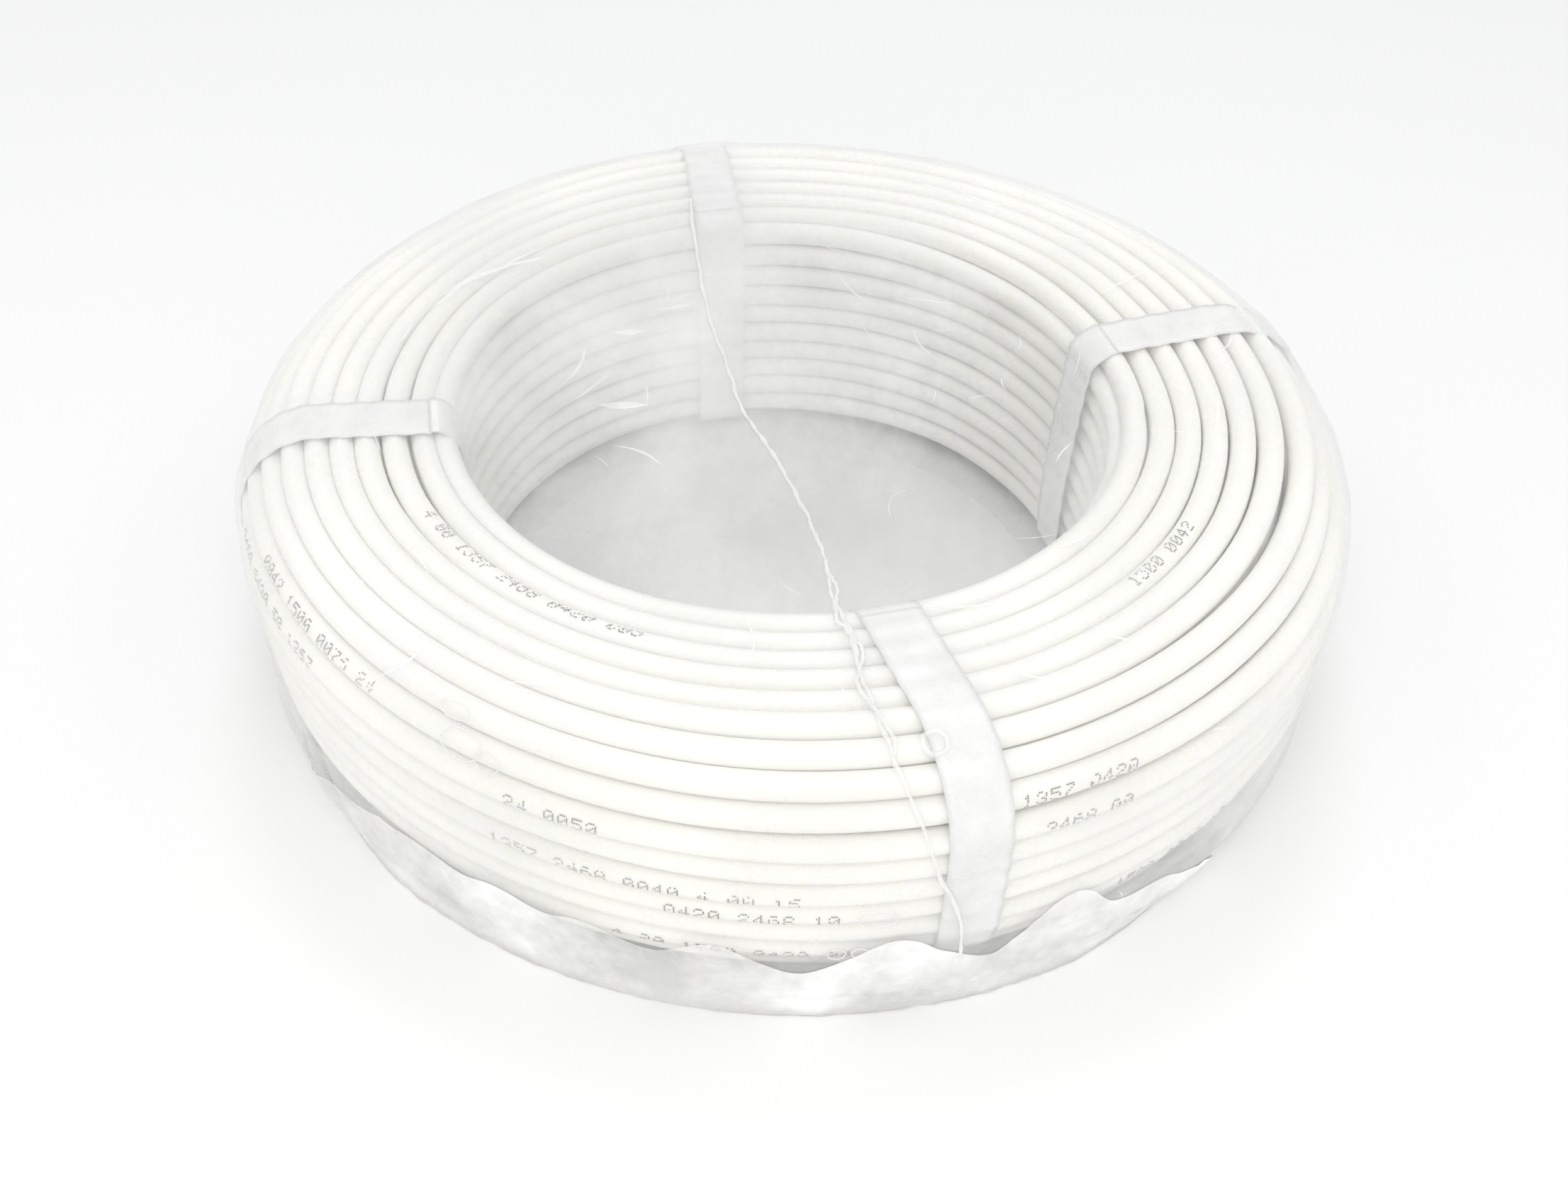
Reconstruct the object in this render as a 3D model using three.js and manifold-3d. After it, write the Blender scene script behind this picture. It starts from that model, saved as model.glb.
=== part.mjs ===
// A coil of white silicone-insulated wire, tied by four thin plastic straps and sealed in clear
// shrink film, lying flat as it is sold. The axis of the coil is +Z, the film's flat underside is
// at z = 0, and the viewer stands on the -Y side. All sizes are in millimetres.
import * as THREE from "three";
import { mergeVertices } from "three/addons/utils/BufferGeometryUtils.js";
import Module from "manifold-3d";

const wasm = await Module();
wasm.setup();

// The wire and how it is wound
const wireDiameter = 4;
const windingSlack = 0.3;
const boreRadius = 54;
const boreShiftX = -2.6;
const boreShiftY = -4.5;
const turnsAcross = 9;
const turnsHigh = 11;
const shoulderTurns = 3.7;
const heelTurns = 4.1;
const boreEdgeTurns = 0.9;
const grooveDepth = 1.2;

// The straps
const strapWidth = 9;
const strapThickness = 0.5;
const frontStrapAzimuth = -73;
const rightStrapAzimuth = 16.5;
const backStrapAzimuth = 105;
const leftStrapAzimuth = 194;

// The shrink film, its welded seam, its vent hole and the trimmed lip low at the front
const filmThickness = 0.3;
const filmHeelRadius = 6;
const filmRimRadius = 50;
const seamWidth = 1.2;
const seamHeight = 0.8;
const seamAzimuth = -74;
const seamOffset = 5;
const ventRadius = 1.5;
const ventDistance = 81;
const ventAzimuth = -75.5;
const lipReach = 7;
const lipThickness = 0.5;
const lipLift = 0.1;
const lipStartAzimuth = -113;
const lipEndAzimuth = -62;

// Gaps between touching pieces, and the fineness of the round surfaces
const clearance = 0.3;
const segmentsAround = 44;
const cornerSteps = 4;
const pointsPerTurn = 3;

// Sizes that follow from the ones above
const turnPitch = wireDiameter + windingSlack;
const sectionWidth = turnsAcross * turnPitch;
const sectionHeight = turnsHigh * turnPitch;
const shoulderRadius = shoulderTurns * turnPitch;
const heelRadius = heelTurns * turnPitch;
const boreEdgeRadius = boreEdgeTurns * turnPitch;
const strapSeat = clearance;
const wrapSeat = strapSeat + strapThickness + clearance;
const coilFloor = filmThickness + wrapSeat;
const coilTop = coilFloor + sectionHeight;
const coilRadius = boreRadius + sectionWidth;
const strapSagitta = coilRadius - Math.sqrt(coilRadius ** 2 - (strapWidth / 2) ** 2);
const facetShare = 1 - Math.cos(Math.PI / segmentsAround);
const wrapRoundness = strapSagitta + coilRadius * facetShare;
const heelCentre = { radius: coilRadius - heelRadius, height: coilFloor + heelRadius };
const shoulderCentre = { radius: coilRadius - shoulderRadius, height: coilTop - shoulderRadius };

const degrees = Math.PI / 180;
const quarter = Math.PI / 2;

const silicone = new THREE.MeshStandardMaterial({ color: 0xf4f3ec, roughness: 0.55, metalness: 0 });
const strapPlastic = new THREE.MeshStandardMaterial({
  color: 0xe4e4de, roughness: 0.45, metalness: 0, transparent: true, opacity: 0.65,
});
const filmPlastic = new THREE.MeshStandardMaterial({
  color: 0xf6f7f7, roughness: 0.08, metalness: 0, transparent: true, opacity: 0.2,
});

// The outline of the coil's section, grown by an offset, with standoff added on the bore side only.
function sectionOutline(Kind, offset, boreStandoff = 0) {
  const outline = new Kind();
  const boreSide = boreRadius + boreEdgeRadius - boreStandoff;
  const edge = boreEdgeRadius + offset;
  outline.moveTo(boreSide, coilFloor - offset);
  outline.lineTo(heelCentre.radius, coilFloor - offset);
  outline.absarc(heelCentre.radius, heelCentre.height, heelRadius + offset, -quarter, 0);
  outline.absarc(shoulderCentre.radius, shoulderCentre.height, shoulderRadius + offset, 0, quarter);
  outline.lineTo(boreSide, coilTop + offset);
  outline.absarc(boreSide, coilTop - boreEdgeRadius, edge, quarter, 2 * quarter);
  outline.absarc(boreSide, coilFloor + boreEdgeRadius, edge, 2 * quarter, 3 * quarter);
  return outline;
}

// The outside of the coil and its straps as the film sees it: from the axis below, round the heel
// and the shoulder, and back to the axis above. It stands out a little more round the side, where
// the straps are flat across their width, and it spans the coil's rounded heel with a tighter one.
function wrapProfile(offset) {
  const heel = coilRadius - filmHeelRadius + wrapRoundness;
  const shoulder = shoulderCentre.radius + wrapRoundness;
  const profile = new THREE.Path();
  profile.moveTo(0, coilFloor - offset);
  profile.lineTo(heel, coilFloor - offset);
  profile.absarc(heel, coilFloor + filmHeelRadius, filmHeelRadius + offset, -quarter, 0);
  profile.absarc(shoulder, shoulderCentre.height, shoulderRadius + offset, 0, quarter);
  profile.lineTo(0, coilTop + offset);
  return profile.getPoints(cornerSteps);
}

// The winding sits off the centre of its bore: a point moves the whole shift at the bore and
// inside it, none at the coil's outside, and its share of it between.
function offCentre(geometry) {
  const places = geometry.attributes.position;
  for (let i = 0; i < places.count; i += 1) {
    const depth = coilRadius - Math.hypot(places.getX(i), places.getY(i));
    const share = THREE.MathUtils.clamp(depth / sectionWidth, 0, 1);
    places.setX(i, places.getX(i) + boreShiftX * share);
    places.setY(i, places.getY(i) + boreShiftY * share);
  }
  return geometry;
}

function turned(profile) {
  const geometry = new THREE.LatheGeometry(profile, segmentsAround);
  geometry.rotateX(quarter);
  return offCentre(geometry);
}

// A closed mesh as a solid that can be cut and joined.
function toSolid(geometry) {
  const bare = geometry.clone();
  bare.deleteAttribute("normal");
  bare.deleteAttribute("uv");
  const merged = mergeVertices(bare, 1e-4);
  const corners = Array.from(merged.index.array);
  const kept = [];
  for (let i = 0; i < corners.length; i += 3) {
    const [a, b, c] = corners.slice(i, i + 3);
    if (a !== b && b !== c && c !== a) kept.push(a, b, c);
  }
  return new wasm.Manifold(new wasm.Mesh({
    numProp: 3,
    vertProperties: new Float32Array(merged.attributes.position.array),
    triVerts: new Uint32Array(kept),
  }));
}

function toGeometry(solid) {
  const mesh = solid.getMesh();
  const geometry = new THREE.BufferGeometry();
  geometry.setAttribute("position", new THREE.BufferAttribute(mesh.vertProperties, 3));
  geometry.setIndex(new THREE.BufferAttribute(mesh.triVerts, 1));
  return geometry;
}

// The wound wire as one turned ring, with a groove between every two turns all round its section.
function coilGeometry() {
  const outline = sectionOutline(THREE.Path, 0);
  outline.closePath();
  const turnsRound = Math.round(outline.getLength() / turnPitch);
  const points = outline.getSpacedPoints(pointsPerTurn * turnsRound).slice(0, -1);
  const inside = new THREE.Vector2(boreRadius + sectionWidth / 2, coilFloor + sectionHeight / 2);
  const profile = points.map((point, i) => {
    const before = points.at(i - 1);
    const after = points[(i + 1) % points.length];
    const inward = new THREE.Vector2(before.y - after.y, after.x - before.x).normalize();
    if (inward.dot(inside.clone().sub(point)) < 0) inward.negate();
    const isGroove = i % pointsPerTurn === 1;
    return isGroove ? point.clone().addScaledVector(inward, grooveDepth) : point.clone();
  });
  profile.push(profile[0].clone());
  return turned(profile);
}

// One strap: a flat band that closes on itself round the coil's section.
function strapGeometry(azimuth) {
  const wallSagitta = boreRadius - Math.sqrt(boreRadius ** 2 - (strapWidth / 2) ** 2);
  const boreStandoff = wallSagitta + boreRadius * facetShare;
  const band = sectionOutline(THREE.Shape, strapSeat + strapThickness, boreStandoff);
  band.holes.push(sectionOutline(THREE.Path, strapSeat, boreStandoff));
  const geometry = new THREE.ExtrudeGeometry(band, {
    depth: strapWidth, bevelEnabled: false, curveSegments: cornerSteps,
  });
  geometry.translate(0, 0, -strapWidth / 2);
  geometry.rotateX(quarter);
  geometry.rotateZ(azimuth * degrees);
  return offCentre(geometry);
}

// The weld: an upright rib over the top and down both sides to the heel, which passes the axis on
// the left.
function seamSlab() {
  const foot = coilFloor + filmHeelRadius / 2;
  const rib = wrapProfile(wrapSeat + filmThickness + seamHeight).filter((point) => point.y > foot);
  const right = rib.map((point) => new THREE.Vector2(point.x, point.y));
  const left = rib.map((point) => new THREE.Vector2(-point.x, point.y)).reverse().slice(1);
  const geometry = new THREE.ExtrudeGeometry(new THREE.Shape([...right, ...left]), {
    depth: seamWidth, bevelEnabled: false,
  });
  geometry.translate(0, 0, -seamWidth / 2 + seamOffset);
  geometry.rotateX(quarter);
  geometry.rotateZ(seamAzimuth * degrees);
  return geometry;
}

// The trimmed edge of the film, which lies along the floor at the front.
function lipSector() {
  const first = lipStartAzimuth * degrees;
  const last = lipEndAzimuth * degrees;
  const inner = coilRadius - filmHeelRadius + wrapRoundness;
  const sector = new THREE.Shape();
  sector.absarc(0, 0, inner + lipReach, first, last);
  sector.absarc(0, 0, inner, last, first, true);
  const geometry = new THREE.ExtrudeGeometry(sector, {
    depth: lipThickness, bevelEnabled: false, curveSegments: cornerSteps,
  });
  geometry.translate(0, 0, lipLift);
  return geometry;
}

// A round punch along +Z, for the vent hole above and the open middle below.
function punch(radius, from, to) {
  const geometry = new THREE.CylinderGeometry(radius, radius, to - from, segmentsAround);
  geometry.rotateX(quarter);
  geometry.translate(0, 0, (from + to) / 2);
  return geometry;
}

// The film: the wrapped outside with its weld and lip, less the space within, the open middle of
// the underside and the vent hole.
function filmGeometry() {
  const outside = toSolid(turned(wrapProfile(wrapSeat + filmThickness)));
  const within = toSolid(turned(wrapProfile(wrapSeat)));
  const openMiddle = punch(filmRimRadius, -filmThickness, coilFloor);
  openMiddle.translate(boreShiftX, boreShiftY, 0);
  const vent = punch(ventRadius, coilTop - wireDiameter, coilTop + wireDiameter);
  vent.translate(ventDistance, 0, 0);
  vent.rotateZ(ventAzimuth * degrees);
  return toGeometry(
    outside
      .add(toSolid(seamSlab()))
      .add(toSolid(lipSector()))
      .subtract(within)
      .subtract(toSolid(openMiddle))
      .subtract(toSolid(vent)),
  );
}

function named(name, geometry, material) {
  const mesh = new THREE.Mesh(geometry, material);
  mesh.name = name;
  return mesh;
}

const group = new THREE.Group();
group.add(
  named("wire_coil", coilGeometry(), silicone),
  named("strap_front", strapGeometry(frontStrapAzimuth), strapPlastic),
  named("strap_right", strapGeometry(rightStrapAzimuth), strapPlastic),
  named("strap_back", strapGeometry(backStrapAzimuth), strapPlastic),
  named("strap_left", strapGeometry(leftStrapAzimuth), strapPlastic),
  named("shrink_film", filmGeometry(), filmPlastic),
);

export default group;
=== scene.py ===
# The looks of a flat coil of white silicone-insulated wire, tied by four milky plastic straps and
# sealed in clear shrink film. All places are in metres, +Z is up, the coil's axis passes through
# the origin, and the viewer stands on the -Y side.
import math
import random

import bmesh
import bpy
from mathutils import Matrix, Vector, noise


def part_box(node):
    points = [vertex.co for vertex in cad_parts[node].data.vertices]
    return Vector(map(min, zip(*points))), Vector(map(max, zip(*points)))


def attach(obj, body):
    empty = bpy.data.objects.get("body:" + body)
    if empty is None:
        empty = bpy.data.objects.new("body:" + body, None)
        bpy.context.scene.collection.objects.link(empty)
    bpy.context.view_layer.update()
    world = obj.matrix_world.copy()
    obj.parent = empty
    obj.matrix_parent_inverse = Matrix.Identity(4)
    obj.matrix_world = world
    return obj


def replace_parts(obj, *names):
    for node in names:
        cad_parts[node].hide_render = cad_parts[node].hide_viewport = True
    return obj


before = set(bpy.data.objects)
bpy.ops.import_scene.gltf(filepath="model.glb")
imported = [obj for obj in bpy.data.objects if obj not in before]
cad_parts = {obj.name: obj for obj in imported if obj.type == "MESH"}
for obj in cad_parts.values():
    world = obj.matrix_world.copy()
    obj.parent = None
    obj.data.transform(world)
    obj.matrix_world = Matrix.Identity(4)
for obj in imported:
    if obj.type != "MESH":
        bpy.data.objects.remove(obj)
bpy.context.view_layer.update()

MM = 0.001
DEG = math.pi / 180
TURN = 2 * math.pi

# The coil, as the frame gives it
coil_low, coil_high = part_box("wire_coil")
COIL_RADIUS = coil_high.x
COIL_FLOOR = coil_low.z
COIL_TOP = coil_high.z

# The wire and the shape of the winding's section. The wire is drawn a little full, so that turns
# press on each other
WIRE = 4.0 * MM
DRAWN_WIRE = 4.15 * MM
LAYER_DEPTH = 0.82 * WIRE
PITCH = 4.3 * MM
BORE = 54 * MM
SHOULDER = 3.7 * PITCH
HEEL = 4.1 * PITCH
BORE_EDGE = 0.9 * PITCH

# The straps: their azimuths are the CAD model's. Each seats a little off the section, bulges into
# the bore, and holds up the film by a rise that eases off beside it
STRAP_WIDTH = 9 * MM
STRAP_THICKNESS = 0.35 * MM
STRAP_SEAT = 0.32 * MM
STRAP_BULGE = 0.9 * MM
STRAP_LOWEST = 0.7 * MM
STRAP_STEPS = (260, 8)
STRAP_RISE = 0.45 * MM
STRAP_EASE = 2.5 * MM
STRAPS = {"strap_front": -73, "strap_right": 16.5, "strap_back": 105, "strap_left": 194}

# The film: the rim of its open middle below, its heel's radius, and the lowest that it may lie
FILM_RIM = 50 * MM
FILM_HEEL = 6 * MM
FILM_LOWEST = 0.12 * MM

# The fineness of the wire and of its layer beneath
STEPS_PER_TURN = 150
WIRE_SIDES = 12
BENEATH_SIDES = 8


# The section and the winding

def section_runs(inset, heel=HEEL):
    """The coil's section, drawn in by inset, as lines and arcs from the top of the bore outwards."""
    low, high = COIL_FLOOR, COIL_TOP
    inner, outer = BORE, COIL_RADIUS
    edge, shoulder = BORE_EDGE, SHOULDER
    return [
        ("line", (inner + edge, high - inset), (outer - shoulder, high - inset), (0, 1)),
        ("arc", (outer - shoulder, high - shoulder), shoulder - inset, 90, 0),
        ("line", (outer - inset, high - shoulder), (outer - inset, low + heel), (1, 0)),
        ("arc", (outer - heel, low + heel), heel - inset, 0, -90),
        ("line", (outer - heel, low + inset), (inner + edge, low + inset), (0, -1)),
        ("arc", (inner + edge, low + edge), edge - inset, -90, -180),
        ("line", (inner + inset, low + edge), (inner + inset, high - edge), (-1, 0)),
        ("arc", (inner + edge, high - edge), edge - inset, 180, 90),
    ]


def run_length(run):
    if run[0] == "line":
        return math.dist(run[1], run[2])
    return run[2] * abs(run[4] - run[3]) * DEG


def on_section(runs, distance):
    """The place and the outward normal in the section at a distance along its runs, as (rho, z) pairs."""
    distance %= sum(run_length(run) for run in runs)
    for run in runs:
        length = run_length(run)
        if distance <= length:
            break
        distance -= length
    share = min(distance / length, 1.0)
    if run[0] == "line":
        start, end, normal = run[1:]
        place = tuple(a + (b - a) * share for a, b in zip(start, end))
        return place, normal
    centre, radius, first, last = run[1:]
    angle = (first + (last - first) * share) * DEG
    normal = (math.cos(angle), math.sin(angle))
    return (centre[0] + radius * normal[0], centre[1] + radius * normal[1]), normal


WIRE_RUNS = section_runs(WIRE / 2)
WIRE_ROUND = sum(run_length(run) for run in WIRE_RUNS)
LANES = round(WIRE_ROUND / PITCH)
LANE_PITCH = WIRE_ROUND / LANES


def smooth_noise(x, y, z):
    """A smooth random number about 0 for a place, the same one each time."""
    return noise.noise(Vector((x, y, z)))


def angle_apart(a, b):
    """How far azimuth a is from azimuth b, in degrees, signed."""
    return (a - b + 180) % 360 - 180


# Where the turns stand apart: lane, azimuth, half width in degrees, gap
GAPS = [
    (1.5, -165, 34, 1.4 * MM),
    (0.6, 38, 22, 1.2 * MM),
    (4.5, 140, 40, 0.9 * MM),
    (3.5, -100, 30, 0.5 * MM),
    (8.5, -50, 30, 1.0 * MM),
    (10.5, -120, 30, 0.8 * MM),
    (6.5, 60, 30, 0.8 * MM),
    (12.5, -60, 25, 0.8 * MM),
    (5.5, -20, 25, 0.5 * MM),
]
GAP_REACH = 2.5

# Turns that ride proud of their neighbours: lane, azimuth, half width in degrees, lift
LIFTS = [
    (8, -42, 24, 1.0 * MM),
    (9, -128, 26, 0.8 * MM),
    (4, -140, 20, 0.4 * MM),
    (6, 15, 30, 0.5 * MM),
    (5, 100, 30, 0.5 * MM),
    (11, -95, 24, 0.6 * MM),
]

# The winding sits off the centre of its bore by this much
BORE_SHIFT = (-2.6 * MM, -4.5 * MM)


def window(azimuth, centre, half_width):
    """1 at the centre, falling off smoothly with the angle from it."""
    away = abs(angle_apart(azimuth, centre)) / half_width
    return math.exp(-away ** 2)


def wander(lane, azimuth):
    """How far a turn strays along the section from its even place."""
    a = azimuth * DEG
    stray = 0.9 * MM * smooth_noise(math.cos(a) * 0.9, math.sin(a) * 0.9, lane * 0.16)
    stray += 0.25 * MM * smooth_noise(math.cos(a) * 3 + 7, math.sin(a) * 3, lane * 0.3)
    for gap_lane, centre, half_width, gap in GAPS:
        away = lane - gap_lane
        side = max(-1.0, min(1.0, away / 0.3))
        stray += side * gap / 2 * math.exp(-abs(away) / GAP_REACH) * window(azimuth, centre, half_width)
    return stray


def slack_lift(lane, azimuth):
    """How far the winding as a whole stands out from its even section here."""
    a = azimuth * DEG
    return 0.45 * MM * smooth_noise(math.cos(a) * 1.1, math.sin(a) * 1.1 + 3, lane * 0.12 + 5)


def own_lift(travel, lane, azimuth):
    """How far one turn rides above or below its neighbours."""
    lift = 0.42 * MM * smooth_noise(travel * 0.75, 11.3, 2.7)
    for lift_lane, centre, half_width, height in LIFTS:
        lift += height * math.exp(-((lane - lift_lane) / 0.55) ** 2) * window(azimuth, centre, half_width)
    return lift


def around(rho, z, azimuth):
    """A direction, or a place about the axis, from its radius, height and azimuth."""
    a = azimuth * DEG
    return Vector((rho * math.cos(a), rho * math.sin(a), z))


def placed(rho, z, azimuth):
    """A place in the winding, which sits off the centre of its bore."""
    share = min(1.0, max(0.0, (COIL_RADIUS - rho) / (COIL_RADIUS - BORE)))
    return around(rho, z, azimuth) + share * Vector((*BORE_SHIFT, 0))


def wire_place(travel):
    """The centre of the wire after a travel of so many radians, and its outward normal."""
    lane = travel / TURN
    azimuth = (travel / DEG) % 360
    place, normal = on_section(WIRE_RUNS, lane * LANE_PITCH + wander(lane % LANES, azimuth))
    lift = slack_lift(lane % LANES, azimuth) + own_lift(travel, lane % LANES, azimuth)
    rho = place[0] + normal[0] * lift
    z = max(place[1] + normal[1] * lift, COIL_FLOOR + WIRE / 2)
    centre = placed(rho, z, azimuth)
    return centre, around(normal[0], normal[1], azimuth)


# Making pieces

def link(name, mesh, material, smooth=True):
    """A piece of the part from its mesh, with its material."""
    piece = bpy.data.objects.new(name, mesh)
    bpy.context.scene.collection.objects.link(piece)
    mesh.materials.clear()
    mesh.materials.append(material)
    for face in mesh.polygons:
        face.use_smooth = smooth
    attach(piece, "root")
    return piece


def cord_mesh(name, strands, radius, sides, closed=False):
    """Round cords along lists of points, as one mesh. A point may carry its own share of the radius."""
    curve = bpy.data.curves.new(name, "CURVE")
    curve.dimensions = "3D"
    curve.bevel_depth = radius
    curve.bevel_resolution = max(0, (sides - 4) // 2)
    curve.use_fill_caps = not closed
    for strand in strands:
        spline = curve.splines.new("POLY")
        spline.points.add(len(strand) - 1)
        for point, place in zip(spline.points, strand):
            point.co = (place[0], place[1], place[2], 1)
            point.radius = place[3] if len(place) > 3 else 1.0
        spline.use_cyclic_u = closed
    holder = bpy.data.objects.new(name + "_curve", curve)
    bpy.context.scene.collection.objects.link(holder)
    bpy.context.view_layer.update()
    mesh = bpy.data.meshes.new_from_object(holder.evaluated_get(bpy.context.evaluated_depsgraph_get()))
    bpy.data.objects.remove(holder)
    mesh.name = name
    return mesh


def surface_mesh(name, columns, rows, place, closed=False, thickness=0.0):
    """A grid laid over place(u, v), u and v from 0 to 1, its first and last columns joined if closed."""
    bm = bmesh.new()
    bmesh.ops.create_grid(bm, x_segments=columns, y_segments=rows, size=0.5)
    for vert in bm.verts:
        vert.co = place(vert.co.x + 0.5, vert.co.y + 0.5)
    if closed:
        bmesh.ops.remove_doubles(bm, verts=bm.verts, dist=1e-7)
    bmesh.ops.recalc_face_normals(bm, faces=bm.faces)
    if thickness:
        bmesh.ops.solidify(bm, geom=bm.faces, thickness=thickness)
    mesh = bpy.data.meshes.new(name)
    bm.to_mesh(mesh)
    bm.free()
    return mesh


# Materials

def new_material(name):
    material = bpy.data.materials.new(name)
    material.use_nodes = True
    nodes = material.node_tree.nodes
    shader = nodes["Principled BSDF"]
    return material, nodes, material.node_tree.links, shader


def noise_node(nodes, links, scale, detail=3.0, roughness=0.5, stretch=None):
    coordinates = nodes.new("ShaderNodeTexCoord")
    texture = nodes.new("ShaderNodeTexNoise")
    texture.inputs["Scale"].default_value = scale
    texture.inputs["Detail"].default_value = detail
    texture.inputs["Roughness"].default_value = roughness
    if stretch:
        mapping = nodes.new("ShaderNodeMapping")
        mapping.inputs["Scale"].default_value = stretch
        links.new(coordinates.outputs["Object"], mapping.inputs["Vector"])
        links.new(mapping.outputs["Vector"], texture.inputs["Vector"])
    else:
        links.new(coordinates.outputs["Object"], texture.inputs["Vector"])
    return texture.outputs["Fac"]


def ramp_node(nodes, links, source, stops):
    ramp = nodes.new("ShaderNodeValToRGB")
    elements = ramp.color_ramp.elements
    while len(elements) < len(stops):
        elements.new(0.5)
    for element, (position, colour) in zip(elements, stops):
        element.position = position
        element.color = (*colour, 1) if len(colour) == 3 else colour
    links.new(source, ramp.inputs["Fac"])
    return ramp.outputs["Color"]


def range_node(nodes, links, source, low, high, to_low, to_high):
    remap = nodes.new("ShaderNodeMapRange")
    remap.inputs["From Min"].default_value = low
    remap.inputs["From Max"].default_value = high
    remap.inputs["To Min"].default_value = to_low
    remap.inputs["To Max"].default_value = to_high
    links.new(source, remap.inputs["Value"])
    return remap.outputs["Result"]


def bump_node(nodes, links, source, distance, strength, shader):
    bump = nodes.new("ShaderNodeBump")
    bump.inputs["Distance"].default_value = distance
    bump.inputs["Strength"].default_value = strength
    links.new(source, bump.inputs["Height"])
    links.new(bump.outputs["Normal"], shader.inputs["Normal"])


def silicone_material():
    """White silicone: soft, faintly warm, with talc-like specks and a barely rippled skin."""
    material, nodes, links, shader = new_material("white_silicone")
    cloud = noise_node(nodes, links, 22, detail=1)
    tint = ramp_node(nodes, links, cloud, [(0.3, (0.945, 0.933, 0.88)), (0.7, (0.957, 0.947, 0.905))])
    links.new(tint, shader.inputs["Base Color"])
    speck = noise_node(nodes, links, 2600, detail=2)
    links.new(range_node(nodes, links, speck, 0.3, 0.7, 0.34, 0.56), shader.inputs["Roughness"])
    ripple = noise_node(nodes, links, 420, detail=3)
    bump_node(nodes, links, ripple, 0.05 * MM, 0.35, shader)
    shader.inputs["Specular IOR Level"].default_value = 0.4
    shader.inputs["Subsurface Weight"].default_value = 0.5
    shader.inputs["Subsurface Radius"].default_value = (1.0, 0.9, 0.6)
    shader.inputs["Subsurface Scale"].default_value = 2 * MM
    return material


def strap_material():
    """Milky, see-through plastic strap with a fine frost."""
    material, nodes, links, shader = new_material("milky_strap")
    scratch = noise_node(nodes, links, 900, detail=4, roughness=0.6)
    cloud = noise_node(nodes, links, 160, detail=3, roughness=0.55)
    tint = ramp_node(nodes, links, cloud, [(0.3, (0.98, 0.985, 0.978)), (0.7, (0.995, 0.998, 0.995))])
    links.new(tint, shader.inputs["Base Color"])
    links.new(range_node(nodes, links, scratch, 0.35, 0.65, 0.16, 0.36), shader.inputs["Roughness"])
    links.new(range_node(nodes, links, cloud, 0.3, 0.7, 0.68, 0.88), shader.inputs["Alpha"])
    bump_node(nodes, links, scratch, 0.06 * MM, 0.35, shader)
    shader.inputs["Specular IOR Level"].default_value = 0.8
    return material


# The film is milkier where it spans the bore, most of all at the left and the back, and greyer there: the
# grey is painted shade standing for the dim bore beneath
HAZE_AND_SHADE_PLACE = (-20 * MM, 14 * MM, 49 * MM)
HAZE_AND_SHADE_REACH = 60 * MM
PAINTED_SHADE_GREY = 0.80


def add_haze_and_painted_shade(nodes, links, shader, cover, strength, whiteness):
    """More cover, and a greyer colour that is painted shade, the nearer a place of the film is to the
    milky one.
    """
    coordinates = nodes.new("ShaderNodeTexCoord")
    away = nodes.new("ShaderNodeVectorMath")
    away.operation = "DISTANCE"
    away.inputs[1].default_value = HAZE_AND_SHADE_PLACE
    links.new(coordinates.outputs["Object"], away.inputs[0])
    milky = range_node(nodes, links, away.outputs["Value"], HAZE_AND_SHADE_REACH, 0, 0, strength)
    total = nodes.new("ShaderNodeMath")
    total.operation = "ADD"
    links.new(cover.outputs["Value"], total.inputs[0])
    links.new(milky, total.inputs[1])
    # Painted shade: the film's colour greys towards the patch to stand for the shade in the bore
    tint = ramp_node(nodes, links, milky, [(0, (whiteness,) * 3), (strength, (PAINTED_SHADE_GREY,) * 3)])
    links.new(tint, shader.inputs["Base Color"])
    return total


def film_material(name, least, most, roughness, whiteness, haze_and_shade_patch=0.0):
    """Clear film: mostly transparent, with a shine that grows towards its edges, an uneven haze, and
    where asked a milkier patch greyed with painted shade.
    """
    material, nodes, links, shader = new_material(name)
    shader.inputs["Base Color"].default_value = (whiteness, whiteness, whiteness, 1)
    shader.inputs["Roughness"].default_value = roughness
    shader.inputs["Specular IOR Level"].default_value = 1.0
    haze = noise_node(nodes, links, 38, detail=5, roughness=0.62, stretch=(1.0, 0.55, 1.0))
    facing = nodes.new("ShaderNodeLayerWeight")
    facing.inputs["Blend"].default_value = 0.3
    cover = nodes.new("ShaderNodeMath")
    cover.operation = "MULTIPLY"
    links.new(range_node(nodes, links, haze, 0.36, 0.66, 0.55, 1.6), cover.inputs[0])
    links.new(range_node(nodes, links, facing.outputs["Facing"], 0, 1, least, most), cover.inputs[1])
    clear = nodes.new("ShaderNodeBsdfTransparent")
    mix = nodes.new("ShaderNodeMixShader")
    if haze_and_shade_patch:
        cover = add_haze_and_painted_shade(nodes, links, shader, cover, haze_and_shade_patch, whiteness)
    links.new(cover.outputs["Value"], mix.inputs["Fac"])
    links.new(clear.outputs["BSDF"], mix.inputs[1])
    links.new(shader.outputs["BSDF"], mix.inputs[2])
    links.new(mix.outputs["Shader"], nodes["Material Output"].inputs["Surface"])
    ripple = noise_node(nodes, links, 80, detail=1.5, roughness=0.45, stretch=(1.0, 0.5, 1.0))
    bump_node(nodes, links, ripple, 2 * MM, 0.35, shader)
    return material


def ink_material():
    """Grey ink-jet dots on the silicone."""
    material, nodes, links, shader = new_material("grey_ink")
    fade = noise_node(nodes, links, 500, detail=2)
    tint = ramp_node(nodes, links, fade, [(0.3, (0.13, 0.13, 0.12)), (0.7, (0.30, 0.30, 0.28))])
    links.new(tint, shader.inputs["Base Color"])
    shader.inputs["Roughness"].default_value = 0.6
    return material


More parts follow.
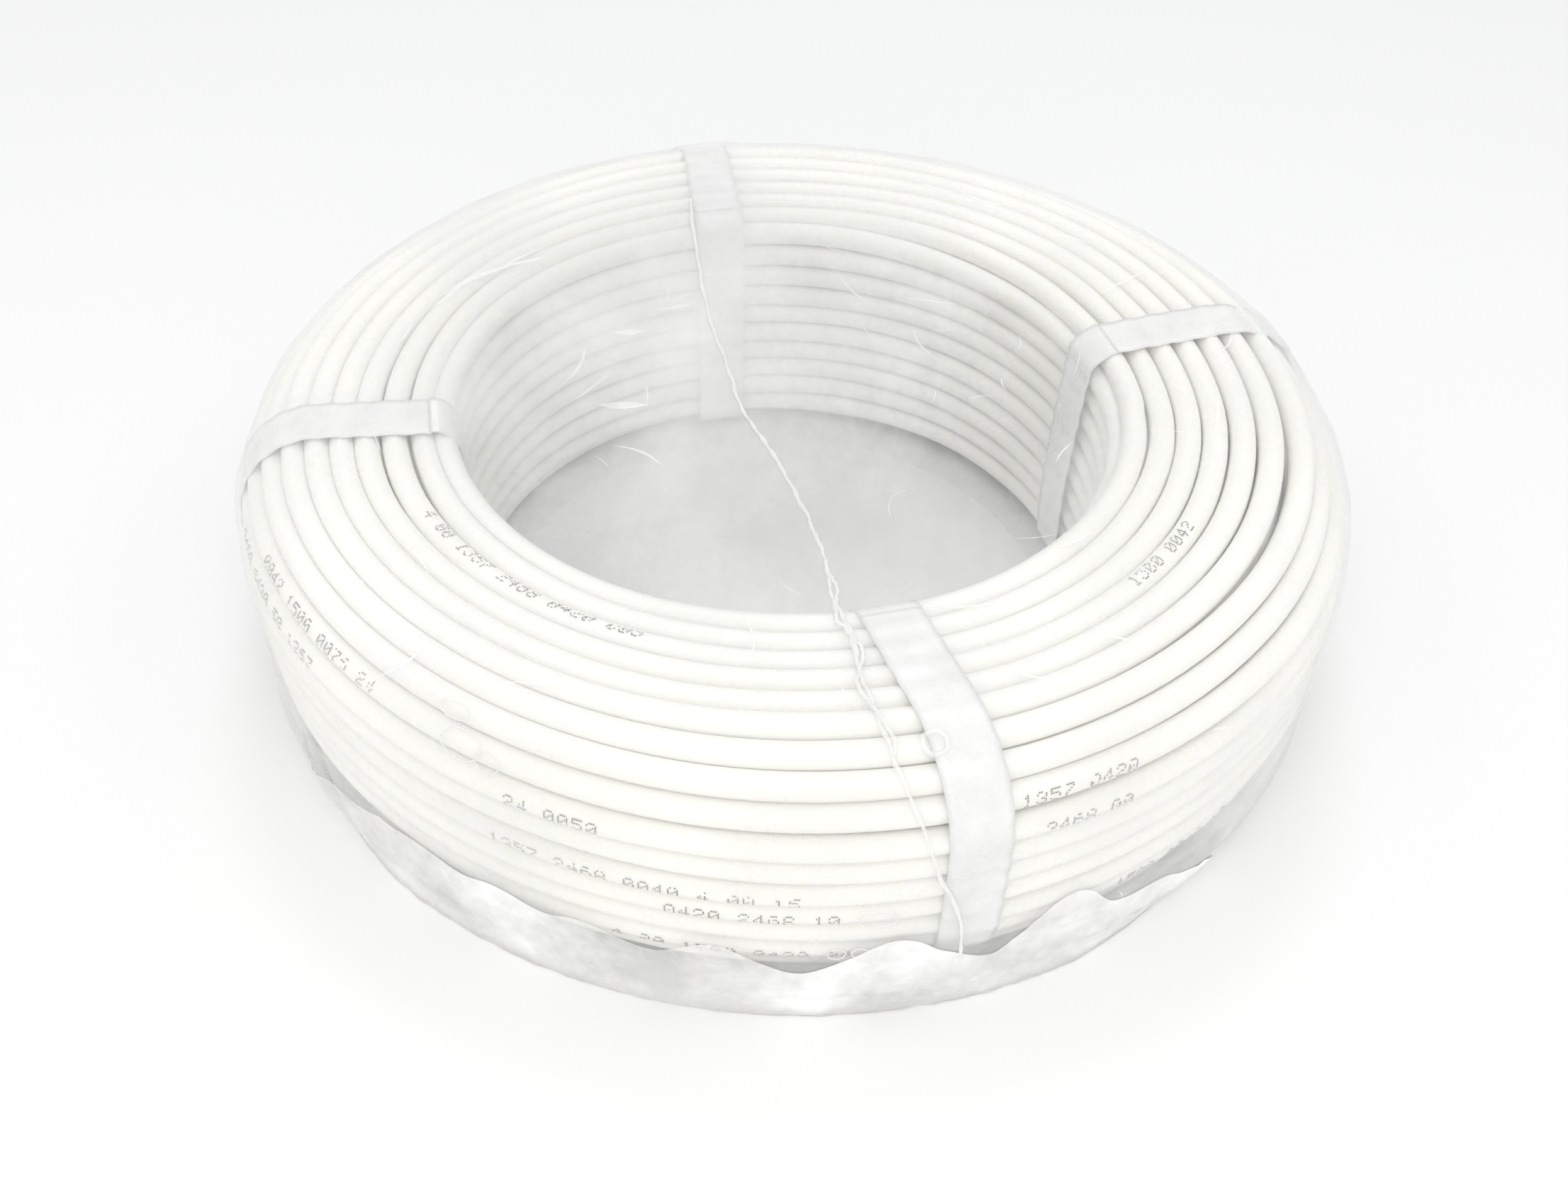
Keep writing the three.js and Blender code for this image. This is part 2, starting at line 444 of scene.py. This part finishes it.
def floor_material():
    """A plain, pale floor, just uneven enough to be paper."""
    material, nodes, links, shader = new_material("pale_floor")
    cloud = noise_node(nodes, links, 3, detail=2)
    tint = ramp_node(nodes, links, cloud, [(0.3, (0.900, 0.904, 0.908)), (0.7, (0.910, 0.914, 0.918))])
    links.new(tint, shader.inputs["Base Color"])
    shader.inputs["Roughness"].default_value = 0.6
    shader.inputs["Specular IOR Level"].default_value = 0.2
    return material


silicone = silicone_material()
milky = strap_material()
# The clear film is milkier over the bore, and painted greyer there as shade
clear_film = film_material("clear_film", 0.15, 0.55, 0.36, 0.92, haze_and_shade_patch=0.58)
# Whiter, denser film for the seam, the vent and the bubbles, and as painted glints on the creases
creased_film_and_painted_glints = film_material("creased_film_and_painted_glints", 0.4, 0.85, 0.2, 1.0)
bunched_film = film_material("bunched_film", 0.5, 0.9, 0.3, 1.0)
ink = ink_material()


# The wire

def make_winding():
    """The outer layer of the winding, one wire that spirals once round the whole section."""
    steps = LANES * STEPS_PER_TURN
    strand = [wire_place(i * TURN / STEPS_PER_TURN)[0] for i in range(steps)]
    mesh = cord_mesh("wire_turns", [strand], DRAWN_WIRE / 2, WIRE_SIDES, closed=True)
    winding = link("wire_turns", mesh, silicone)
    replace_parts(winding, "wire_coil")


def make_second_layer():
    """The layer beneath, which shows in the gaps between turns."""
    steps_per_turn = STEPS_PER_TURN // 2
    runs = section_runs(WIRE / 2 + LAYER_DEPTH)
    length = sum(run_length(run) for run in runs)
    lanes = int(length / PITCH)
    strand = []
    for i in range(lanes * steps_per_turn):
        azimuth = i * 360 / steps_per_turn
        place, normal = on_section(runs, i * length / (lanes * steps_per_turn))
        lift = slack_lift(i * LANES / (lanes * steps_per_turn), azimuth % 360)
        rho = place[0] + normal[0] * lift
        strand.append(placed(rho, place[1] + normal[1] * lift, azimuth))
    mesh = cord_mesh("wire_turns_beneath", [strand], DRAWN_WIRE / 2, BENEATH_SIDES, closed=True)
    layer = link("wire_turns_beneath", mesh, silicone)
    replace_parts(layer, "wire_coil")


make_winding()
make_second_layer()


# The straps

def strap_place(azimuth, share, across):
    """A point of a strap: share goes once round the section, across runs over its width."""
    runs = section_runs(0)
    length = sum(run_length(run) for run in runs)
    place, normal = on_section(runs, share * length)
    lane = share * LANES
    turn_phase = lane - wander(lane, azimuth) / LANE_PITCH - azimuth / 360
    crest = 0.1 * MM * math.cos(turn_phase * TURN)
    lean = 0.15 * MM * smooth_noise(share * 14, azimuth, across * 160)
    lift = slack_lift(lane, azimuth) + STRAP_SEAT + crest + lean
    rho = place[0] + normal[0] * lift
    if normal[0] < -0.5:
        bulge = math.sin(math.pi * (place[1] - COIL_FLOOR) / (COIL_TOP - COIL_FLOOR))
        rho -= STRAP_BULGE * bulge
    middle = placed(rho, max(place[1] + normal[1] * lift, STRAP_LOWEST), azimuth)
    side = Vector((-math.sin(azimuth * DEG), math.cos(azimuth * DEG), 0))
    return middle + side * across


def make_strap(name, azimuth):
    """One strap, pulled tight over the turns, hugging their crests."""
    mesh = surface_mesh(
        name + "_band", *STRAP_STEPS,
        lambda u, v: strap_place(azimuth, u, (v - 0.5) * STRAP_WIDTH),
        closed=True, thickness=-STRAP_THICKNESS,
    )
    strap = link(name + "_band", mesh, milky)
    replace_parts(strap, name)


for strap_name, strap_azimuth in STRAPS.items():
    make_strap(strap_name, strap_azimuth)


# The film

def strap_rise(azimuth, rho):
    """How far the straps hold the film up here, easing off beside each of them."""
    rise = 0.0
    for centre in STRAPS.values():
        away = abs(angle_apart(azimuth, centre)) * DEG * rho
        rise = max(rise, 1 - max(0.0, away - STRAP_WIDTH / 2) / STRAP_EASE)
    return STRAP_RISE * rise


FILM_RUNS = section_runs(0, heel=FILM_HEEL)
FILM_LIFT = 0.85 * MM
FILM_STEPS = (300, 200)
BORE_END = BORE + BORE_EDGE
RIPPLE_FADE = 20 * MM
FILM_OVER = BORE_END + sum(run_length(run) for run in FILM_RUNS[:4])
FILM_LENGTH = FILM_OVER + COIL_RADIUS - FILM_HEEL - FILM_RIM


def wire_distance(along):
    """The distance along the wire's runs that answers to one along the film's tighter-heeled runs."""
    wire_along = 0.0
    for film_run, wire_run in zip(FILM_RUNS, WIRE_RUNS):
        length = run_length(film_run)
        if along < length:
            return wire_along + run_length(wire_run) * along / length
        along -= length
        wire_along += run_length(wire_run)
    return wire_along


def membrane_ripple(rho, azimuth):
    """The slack of the film where it spans the bore."""
    place = around(rho, 0, azimuth)
    fade = min(1.0, (BORE_END - rho) / RIPPLE_FADE)
    slow = smooth_noise(place.x * 28, place.y * 28, 1.5)
    fine = smooth_noise(place.x * 110, place.y * 60, 8.5)
    return fade * (1.3 * MM * slow + 0.3 * MM * fine)


def tension(x, y, z):
    """Fine wrinkles of the film where it clings to the turns."""
    broad = 0.22 * MM * smooth_noise(x * 90, y * 90, z * 90)
    fine = 0.1 * MM * smooth_noise(x * 260, y * 260, z * 260)
    return broad + fine


def proud_turns(lane, azimuth):
    """How far the turns that ride high push the film out here."""
    lift = 0.0
    for lift_lane, centre, half_width, height in LIFTS:
        lift += height * math.exp(-((lane - lift_lane) / 0.9) ** 2) * window(azimuth, centre, half_width)
    return lift


def film_place(azimuth, distance):
    """A point of the film, by the distance from the axis, out over the turns, down and in below."""
    if distance < BORE_END:
        edge_rise = slack_lift(0, azimuth) * (distance / BORE_END) ** 4
        lift = FILM_LIFT + edge_rise + membrane_ripple(distance, azimuth)
        return placed(distance, COIL_TOP + lift, azimuth)
    if distance < FILM_OVER:
        along = distance - BORE_END
        place, normal = on_section(FILM_RUNS, along)
        lane = wire_distance(along) / LANE_PITCH
        phase = lane - wander(lane, azimuth) / LANE_PITCH - azimuth / 360
        dip = 0.14 * MM * (math.cos(phase * TURN) - 1)
        lift = FILM_LIFT + slack_lift(lane, azimuth) + dip + strap_rise(azimuth, place[0])
        lift += proud_turns(lane, azimuth) + tension(*around(*place, azimuth))
        rho = place[0] + normal[0] * lift
        return placed(rho, max(place[1] + normal[1] * lift, FILM_LOWEST), azimuth)
    rho = COIL_RADIUS - FILM_HEEL - (distance - FILM_OVER)
    ruffle = 0.2 * MM * (1 + smooth_noise(azimuth * 0.35, rho * 200, 4))
    return placed(rho, 0.08 * MM + ruffle, azimuth)


def make_film():
    """The film itself, one sheet from above the bore, out over the turns and in below."""
    mesh = surface_mesh(
        "film_wrap", *FILM_STEPS,
        lambda u, v: film_place(u * 360, v * FILM_LENGTH),
        closed=True,
    )
    film = link("film_wrap", mesh, clear_film)
    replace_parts(film, "shrink_film")


def on_film(x, y, lift=0.0):
    """A place on the film from its plan spread flat: x and y in millimetres from the axis."""
    distance = math.hypot(x, y) * MM
    azimuth = math.atan2(y, x) / DEG
    place = film_place(azimuth, distance)
    normal = Vector((0, 0, 1))
    if distance > BORE_END:
        outward = on_section(FILM_RUNS, distance - BORE_END)[1]
        normal = around(*outward, azimuth)
    return place + normal * lift


def soft_step(p, q, r, s, t):
    """One coordinate at a share t of the way from q to r, on a curve that comes from p and goes to s."""
    bend = 2 * p - 5 * q + 4 * r - s
    twist = 3 * q - p - 3 * r + s
    return 0.5 * (2 * q + (r - p) * t + bend * t ** 2 + twist * t ** 3)


def smooth_route(points, steps):
    """A soft curve through points of the film's plan."""
    ends = [points[0]] + list(points) + [points[-1]]
    route = []
    for four in zip(ends, ends[1:], ends[2:], ends[3:]):
        for step in range(steps):
            route.append(tuple(soft_step(*line, step / steps) for line in zip(*four)))
    route.append(tuple(points[-1]))
    return route


# The weld's route in the film's plan, from the back of the bore to the heel at the front
SEAM_ROUTE = [
    (-20.5, 58), (-17, 37), (-13.6, 18.2), (-9.5, 3.2), (-5.8, -10.6), (-0.7, -21.4), (2.9, -29.9),
    (6.3, -39.6), (8, -45.8), (9.1, -53.2), (11.1, -61.1), (12.1, -70.1), (14.1, -79.8), (17.1, -88),
    (23.4, -99.1), (30.5, -108.6), (35.2, -118.9),
]
SEAM_RADIUS = 0.42 * MM
SEAM_LIFT = 0.12 * MM
SEAM_STEPS = 24
SEAM_SIDES = 6

# The stretch of the weld that the second bead loops about, as shares of its length
SEAM_LOOP_FIRST = 0.52
SEAM_LOOP_LAST = 0.78
SEAM_LOOP_LIFT = 0.16 * MM


def make_seam():
    """The welded bead of the film, thin and wavy, with a second bead that loops about it at the front."""
    route = smooth_route(SEAM_ROUTE, SEAM_STEPS)
    bead = []
    loop = []
    for i, (x, y) in enumerate(route):
        share = i / (len(route) - 1)
        sway = 0.35 * smooth_noise(i * 0.13, 3.3, 1) + 0.12 * smooth_noise(i * 0.5, 9.1, 1)
        thick = 0.8 + 0.6 * smooth_noise(i * 0.21, 5.7, 4)
        bead.append((*on_film(x + sway, y, SEAM_LIFT), thick))
        if SEAM_LOOP_FIRST < share < SEAM_LOOP_LAST:
            swing = 0.95 * math.sin((share - SEAM_LOOP_FIRST) * 60) + 0.4 * smooth_noise(i * 0.3, 1.1, 7)
            loop.append((*on_film(x + sway + swing, y, SEAM_LOOP_LIFT), 0.75))
    mesh = cord_mesh("film_seam", [bead, loop], SEAM_RADIUS, SEAM_SIDES)
    seam = link("film_seam", mesh, creased_film_and_painted_glints)
    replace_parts(seam, "shrink_film")


# The vent's melted rim: its place in the film's plan and its radius in millimetres, then how thick
# it and the bubbles' rims are and how far they stand off the film
VENT_X = 20.6
VENT_Y = -81.3
VENT_RADIUS = 1.6
VENT_RIM = 0.38 * MM
VENT_LIFT = 0.12 * MM
BUBBLE_RIM = 0.12 * MM
BUBBLE_LIFT = 0.05 * MM
RING_STEPS = 28

# Round weld marks and bubbles in the film's plan: x, y, half width, half height in millimetres
BUBBLES = [
    (16.9, -109.6, 3.2, 1.2),
    (11.3, -117.8, 1.6, 1.0),
    (15.5, -117.4, 1.5, 0.9),
    (-43.2, -82.2, 3.4, 2.2),
    (-39.5, -85, 2.0, 1.4),
    (-43.4, -77.5, 2.4, 1.2),
]


def film_loop(x, y, half_width, half_height, turn, lift):
    """An uneven oval on the film, turned in its plan by an angle in radians."""
    ring = []
    for step in range(RING_STEPS):
        angle = step * TURN / RING_STEPS
        wobble = 1 + 0.12 * smooth_noise(math.cos(angle) * 2 + x, math.sin(angle) * 2 + y, 2)
        across = half_width * wobble * math.cos(angle)
        upright = half_height * wobble * math.sin(angle)
        spun_x = across * math.cos(turn) - upright * math.sin(turn)
        spun_y = across * math.sin(turn) + upright * math.cos(turn)
        ring.append(tuple(on_film(x + spun_x, y + spun_y, lift)))
    return ring


def make_loops():
    """The punched vent's melted rim, and the outlines of bubbles trapped under the film."""
    vent = [film_loop(VENT_X, VENT_Y, VENT_RADIUS, VENT_RADIUS, 0, VENT_LIFT)]
    mesh = cord_mesh("film_vent_ring", vent, VENT_RIM, 6, closed=True)
    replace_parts(link("film_vent_ring", mesh, creased_film_and_painted_glints), "shrink_film")
    rings = [
        film_loop(x, y, half_width, half_height, math.atan2(x, -y), BUBBLE_LIFT)
        for x, y, half_width, half_height in BUBBLES
    ]
    mesh = cord_mesh("film_bubbles", rings, BUBBLE_RIM, 4, closed=True)
    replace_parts(link("film_bubbles", mesh, creased_film_and_painted_glints), "shrink_film")


# Creases in the film's plan, their whiter film a painted highlight for the glints they catch: x, y,
# direction in degrees, length, width
CREASES = [
    (27.7, -53, 5, 11, 0.5),
    (25, -58, -35, 6, 0.35),
    (43.8, -38.7, 36, 7, 0.5),
    (46.6, -60, -35, 7, 0.6),
    (34.7, -68.2, -21, 9, 0.5),
    (-3, -62, -82, 9, 0.3),
    (-54, 26, 45, 27, 1.1),
    (-50, 33, 52, 14, 0.8),
    (-61, 20, 62, 12, 0.9),
    (-66, 8, 80, 9, 0.6),
    (-27, 13.5, 5, 6, 1.8),
    (-25.5, -9, 2, 8, 2.0),
    (-35, 2, 80, 12, 0.7),
    (-31, -4, 60, 9, 0.6),
    (-20, 22, 20, 9, 0.8),
    (-22, -22, -30, 10, 0.5),
    (-27, -77, -18, 20, 0.7),
    (-36, -66, 130, 10, 0.5),
    (-44, -60, -48, 12, 0.5),
    (-53, -50, -50, 12, 0.5),
    (-61, -40, -55, 10, 0.5),
    (-58, -55, 10, 8, 0.5),
    (-52, -69, 25, 10, 0.5),
    (-14, -79, 4, 12, 0.5),
    (60, 34, 40, 12, 0.5),
    (52, 48, -35, 9, 0.5),
    (36, 62, -28, 12, 0.5),
    (70, -6, 80, 10, 0.5),
    (74, 14, 60, 8, 0.5),
    (12, 30, -60, 14, 0.5),
    (24, 12, -70, 12, 0.4),
]
SCATTERED_CREASES = 80
CREASE_STEPS = 9
CREASE_LIFT = 0.03 * MM


def make_creases():
    """Slivers of film folded up along the creases, and many short ones scattered over the turns, whitened
    as painted glints.
    """
    chance = random.Random(7)
    creases = list(CREASES)
    for _ in range(SCATTERED_CREASES):
        azimuth = chance.uniform(0, TURN)
        distance = chance.uniform(20, 128)
        heading = azimuth / DEG + chance.gauss(70, 35)
        creases.append((
            distance * math.cos(azimuth), distance * math.sin(azimuth), heading,
            chance.uniform(3, 10), chance.uniform(0.12, 0.3),
        ))
    bm = bmesh.new()
    for x, y, heading, length, width in creases:
        bend = chance.uniform(-0.12, 0.12) * length
        ahead = (math.cos(heading * DEG), math.sin(heading * DEG))
        rows = []
        for step in range(CREASE_STEPS):
            t = step / (CREASE_STEPS - 1)
            along = (t - 0.5) * length
            bow = bend * math.sin(math.pi * t)
            half = width / 2 * math.sin(math.pi * min(0.97, max(0.03, t)))
            middle = (x + ahead[0] * along - ahead[1] * bow, y + ahead[1] * along + ahead[0] * bow)
            low = on_film(middle[0] - ahead[1] * half, middle[1] + ahead[0] * half, CREASE_LIFT)
            ridge = on_film(*middle, CREASE_LIFT + 0.35 * half * MM)
            high = on_film(middle[0] + ahead[1] * half, middle[1] - ahead[0] * half, CREASE_LIFT)
            rows.append([bm.verts.new(corner) for corner in (low, ridge, high)])
        for before, after in zip(rows, rows[1:]):
            for k in range(2):
                bm.faces.new((before[k], before[k + 1], after[k + 1], after[k]))
    mesh = bpy.data.meshes.new("film_creases_painted_glints")
    bm.to_mesh(mesh)
    bm.free()
    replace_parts(link("film_creases_painted_glints", mesh, creased_film_and_painted_glints), "shrink_film")


# The bunched film low at the front: the azimuths of its ends, its lip and height in millimetres, how
# far it may stand out, and the share of its rows that lie on the floor
FRINGE_FIRST = -152
FRINGE_LAST = -38
FRINGE_LIP = 3.5
FRINGE_HEIGHT = 16.5
FRINGE_REACH = COIL_RADIUS + 1.5 * MM
FRINGE_STEPS = (320, 26)
LIP_SHARE = 0.35


def fringe_place(u, v):
    """A point of the bunched film: a lip on the floor at the front, then a skirt that hides the heel."""
    azimuth = FRINGE_FIRST + (FRINGE_LAST - FRINGE_FIRST) * u
    ends = min(1.0, 5 * u, 5 * (1 - u))
    lip = FRINGE_LIP * ends * (0.75 + 0.6 * smooth_noise(azimuth * 0.21, 1.7, 0))
    height = FRINGE_HEIGHT * ends * (0.8 + 0.5 * smooth_noise(azimuth * 0.12, 6.1, 0))
    ruffle = 0.5 + 0.6 * smooth_noise(azimuth * 0.45, 2, 0) + 0.25 * smooth_noise(azimuth * 1.3, 5, 0)
    skirt = COIL_RADIUS + (0.2 + 0.6 * ruffle) * MM
    if v < LIP_SHARE:
        inwards = v / LIP_SHARE
        heel = COIL_RADIUS - FILM_HEEL / 2
        foot = heel + (skirt - heel) * ends
        tip = min(max(heel + lip * MM, foot + 0.3 * MM), FRINGE_REACH)
        rho = tip + (foot - tip) * inwards
        return around(rho, FILM_LOWEST + 0.9 * MM * ruffle * (1 - inwards), azimuth)
    up = (v - LIP_SHARE) / (1 - LIP_SHARE)
    distance = (FILM_OVER - 4 * MM) / MM - height * up
    place = on_film(
        distance * math.cos(azimuth * DEG), distance * math.sin(azimuth * DEG),
        (0.15 + 0.5 * ruffle * math.sin(math.pi * up)) * MM,
    )
    rho = math.hypot(place.x, place.y)
    stretch = 1 + max(0.0, skirt / rho - 1) * ends
    return Vector((place.x * stretch, place.y * stretch, place.z))


def make_fringe():
    """The bunched, trimmed edge of the film, low at the front."""
    mesh = surface_mesh("film_fringe", *FRINGE_STEPS, fringe_place)
    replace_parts(link("film_fringe", mesh, bunched_film), "shrink_film")


make_film()
make_seam()
make_loops()
make_creases()
make_fringe()


# The print on the wire: plain numbers in dots, five dots wide and seven high

DIGITS = {
    "0": "01110 10001 10011 10101 11001 10001 01110",
    "1": "00100 01100 00100 00100 00100 00100 01110",
    "2": "01110 10001 00001 00110 01000 10000 11111",
    "3": "01110 10001 00001 00110 00001 10001 01110",
    "4": "00010 00110 01010 10010 11111 00010 00010",
    "5": "11111 10000 11110 00001 00001 10001 01110",
    "6": "01110 10000 11110 10001 10001 10001 01110",
    "7": "11111 00001 00010 00100 01000 01000 01000",
    "8": "01110 10001 10001 01110 10001 10001 01110",
    "9": "01110 10001 10001 01111 00001 00001 01110",
}
DOT = 0.15 * MM
DOT_PITCH = 0.31 * MM
DOT_HEIGHT = 0.012 * MM
DOT_SIDES = 6
LOST_DOTS = 0.12
CHARACTER_PITCH = 2.0 * MM

# Where the print shows: turn, azimuth where it starts, the numbers, how far round the wire it sits
PRINTS = [
    (1, -144, "4 00 1357 2468 0420 005", -15),
    (2, -43, "1500 0042", 0),
    (7, -150, "0042 1500 0075 24", 0),
    (7, -69, "1357 0420", 20),
    (8, -158, "2468 0420 50 1357", 0),
    (8, -113, "24 0050", 10),
    (8, -67, "2468 00", 10),
    (10, -115, "1357 2468 0040 4 00 15", 5),
    (11, -99, "0420 2468 10", 5),
    (13, -104, "4 00 1500 0420 24", 0),
    (13, -57, "1500 0042 13", 0),
]


# How far ahead the wire's direction is read, in radians of travel
SHORT_TRAVEL = 0.004


def wire_spot(travel, along, roll, up, height):
    """A spot on the wire's skin: along it and up round it from a travel and a roll."""
    centre, normal = wire_place(travel)
    ahead = (wire_place(travel + SHORT_TRAVEL)[0] - centre).normalized()
    travel += along / math.hypot(centre.x, centre.y)
    centre, normal = wire_place(travel)
    side = ahead.cross(normal).normalized()
    angle = roll + up / (DRAWN_WIRE / 2)
    way = -side * math.sin(angle) + normal * math.cos(angle)
    skin = centre + way * (DRAWN_WIRE / 2 + height)
    round_way = -side * math.cos(angle) - normal * math.sin(angle)
    return skin, ahead, round_way


def make_print():
    """The dots of the print, each a small flat six-sided spot, a few of them lost."""
    bm = bmesh.new()
    chance = random.Random(3)
    for turn, start, numbers, roll in PRINTS:
        travel = turn * TURN + (start % 360) * DEG
        for place, digit in enumerate(numbers):
            rows = DIGITS.get(digit, "").split()
            for row, dots in enumerate(rows):
                for column, dot in enumerate(dots):
                    if dot == "0" or chance.random() < LOST_DOTS:
                        continue
                    along = place * CHARACTER_PITCH + column * DOT_PITCH
                    up = (3 - row) * DOT_PITCH
                    skin, ahead, upright = wire_spot(travel, along, -roll * DEG, up, DOT_HEIGHT)
                    corners = []
                    for side in range(DOT_SIDES):
                        angle = side * TURN / DOT_SIDES
                        corner = skin + DOT * (ahead * math.cos(angle) + upright * math.sin(angle))
                        corners.append(bm.verts.new(corner))
                    bm.faces.new(corners)
    mesh = bpy.data.meshes.new("wire_print")
    bm.to_mesh(mesh)
    bm.free()
    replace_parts(link("wire_print", mesh, ink, smooth=False), "wire_coil")


make_print()


# The studio

FLOOR_HALF = 3.0


def make_floor():
    bm = bmesh.new()
    bmesh.ops.create_grid(bm, x_segments=2, y_segments=2, size=FLOOR_HALF)
    mesh = bpy.data.meshes.new("floor")
    bm.to_mesh(mesh)
    bm.free()
    floor = bpy.data.objects.new("floor", mesh)
    bpy.context.scene.collection.objects.link(floor)
    mesh.materials.append(floor_material())


def make_light(name, size, place, target, watts, colour):
    """A soft rectangular lamp that looks at a target."""
    lamp = bpy.data.lights.new(name, "AREA")
    lamp.shape = "RECTANGLE"
    lamp.size, lamp.size_y = size
    lamp.energy = watts
    lamp.color = colour
    holder = bpy.data.objects.new(name, lamp)
    holder.location = place
    holder.rotation_euler = (Vector(target) - Vector(place)).to_track_quat("-Z", "Y").to_euler()
    bpy.context.scene.collection.objects.link(holder)


# The lamps: name, size, place and target in metres, strength in watts, colour
LAMPS = [
    ("side_left", (0.3, 0.3), (-0.60, 0.05, 0.70), (0, 0, 0), 0.35, (0.94, 0.97, 1.0)),
    ("side_right", (0.3, 0.3), (0.60, 0.05, 0.70), (0, 0, 0), 0.40, (0.94, 0.97, 1.0)),
    ("above_back", (0.22, 0.22), (0.0, 0.33, 0.85), (0, 0, 0), 0.72, (0.86, 0.93, 1.0)),
    ("above_front", (0.6, 0.4), (0.0, -0.45, 0.70), (0, 0, 0), 1.65, (1.0, 0.99, 0.965)),
    ("low_front", (0.8, 0.3), (0.0, -0.80, 0.22), (0, 0, 0.02), 0.80, (1.0, 0.985, 0.95)),
]
SKY_COLOUR = (1.0, 0.996, 0.982, 1)
SKY_STRENGTH = 0.77


def make_lights():
    world = bpy.data.worlds.new("studio")
    bpy.context.scene.world = world
    world.use_nodes = True
    sky = world.node_tree.nodes["Background"]
    sky.inputs["Color"].default_value = SKY_COLOUR
    sky.inputs["Strength"].default_value = SKY_STRENGTH
    for lamp in LAMPS:
        make_light(*lamp)
    bpy.context.scene.view_settings.view_transform = "Standard"
    bpy.context.scene.cycles.transparent_max_bounces = 24


# The camera, fitted to the photograph: its focal length in pixels of the full frame, the sensor in
# millimetres, and its angles in degrees
IMAGE_WIDTH = 2212
FOCAL_PIXELS = 2188
SENSOR_WIDTH = 36
CAMERA_PLACE = (2.3 * MM, -217.5 * MM, 196.9 * MM)
CAMERA_YAW = -0.97
CAMERA_PITCH = 42.42
CAMERA_ROLL = 1.80


def make_camera():
    yaw, pitch, roll = (angle * DEG for angle in (CAMERA_YAW, CAMERA_PITCH, CAMERA_ROLL))
    forward = Vector((math.sin(yaw) * math.cos(pitch), math.cos(yaw) * math.cos(pitch), -math.sin(pitch)))
    level = Vector((math.cos(yaw), -math.sin(yaw), 0))
    upright = level.cross(forward)
    right = math.cos(roll) * level + math.sin(roll) * upright
    up = -math.sin(roll) * level + math.cos(roll) * upright
    data = bpy.data.cameras.new("photo_view")
    data.sensor_width = SENSOR_WIDTH
    data.lens = SENSOR_WIDTH * FOCAL_PIXELS / IMAGE_WIDTH
    data.clip_start = 0.01
    camera = bpy.data.objects.new("photo_view", data)
    turned = Matrix((right, up, -forward)).transposed()
    camera.matrix_world = Matrix.Translation(CAMERA_PLACE) @ turned.to_4x4()
    bpy.context.scene.collection.objects.link(camera)
    bpy.context.scene.camera = camera


make_floor()
make_lights()
make_camera()
